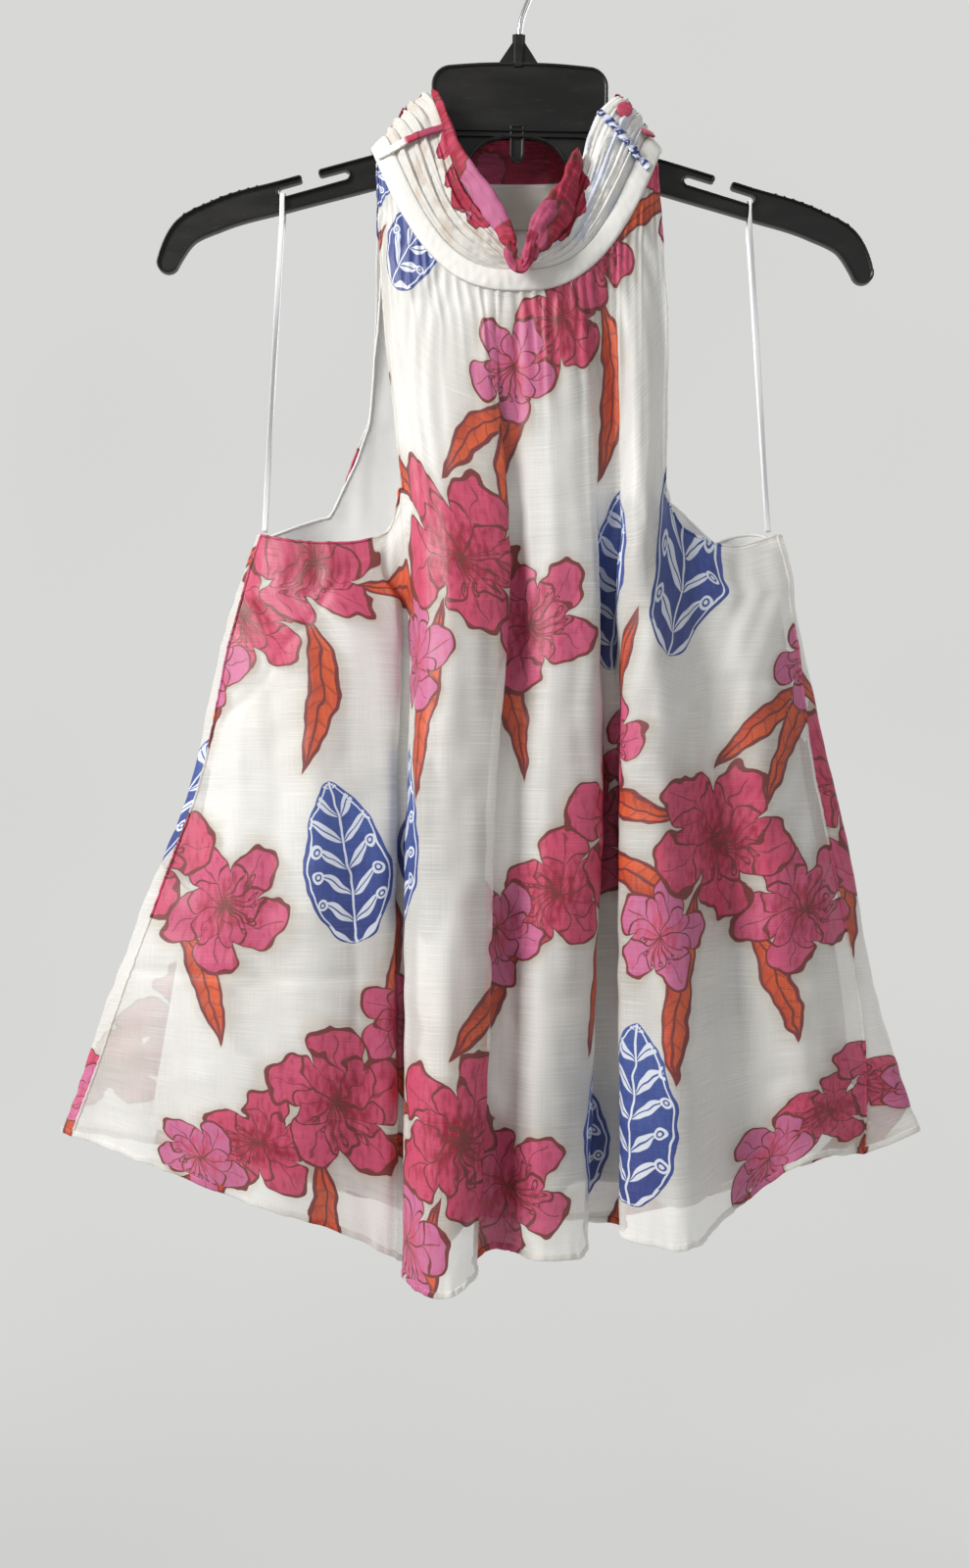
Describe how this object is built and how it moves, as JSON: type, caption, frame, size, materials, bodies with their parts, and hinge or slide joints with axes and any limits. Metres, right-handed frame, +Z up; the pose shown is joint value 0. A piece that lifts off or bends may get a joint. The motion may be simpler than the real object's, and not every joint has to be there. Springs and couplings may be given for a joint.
{
  "type": "tie-neck blouse on a hanger",
  "caption": "Sleeveless halter-cut trapeze blouse, lined, gathered into a pleated stand collar with covered buttons, hung flat on a black plastic hanger with a wire hook.",
  "frame": {"origin": "inside top of the hanger's hook, where it rests on a rail", "axes": "+Z up, +X to the right of the blouse's front as it is looked at, -Y out of the front of the blouse"},
  "size_m": [0.516, 0.1036, 0.8155],
  "materials": {
    "printed_cloth": "slubbed voile, printed",
    "crimson_cloth": "slubbed voile, printed",
    "white_lining": "plain woven lining",
    "cream_cloth": "slubbed voile",
    "blue_cloth": "slubbed voile, printed",
    "pink_cover": "cloth-covered",
    "satin": "satin ribbon",
    "label_cloth": "plain woven tape",
    "black_plastic": "moulded, satin",
    "bright_wire": "polished wire"
  },
  "bodies": {
    "root": {"front": "printed_cloth", "back": "printed_cloth", "front_lining": "white_lining", "back_lining": "white_lining", "neckband_front": "cream_cloth", "neckband_back": "cream_cloth", "collar_left": "printed_cloth", "collar_right": "printed_cloth", "collar_back": "crimson_cloth", "collar_roll_left": "crimson_cloth", "collar_roll_right": "crimson_cloth", "carrier_left": "cream_cloth", "carrier_right": "blue_cloth", "button_upper": "pink_cover", "button_lower": "pink_cover", "label": "label_cloth", "hanger": "black_plastic", "hook": "bright_wire", "ribbon_left": "satin", "ribbon_right": "satin"}
  },
  "joints": []
}
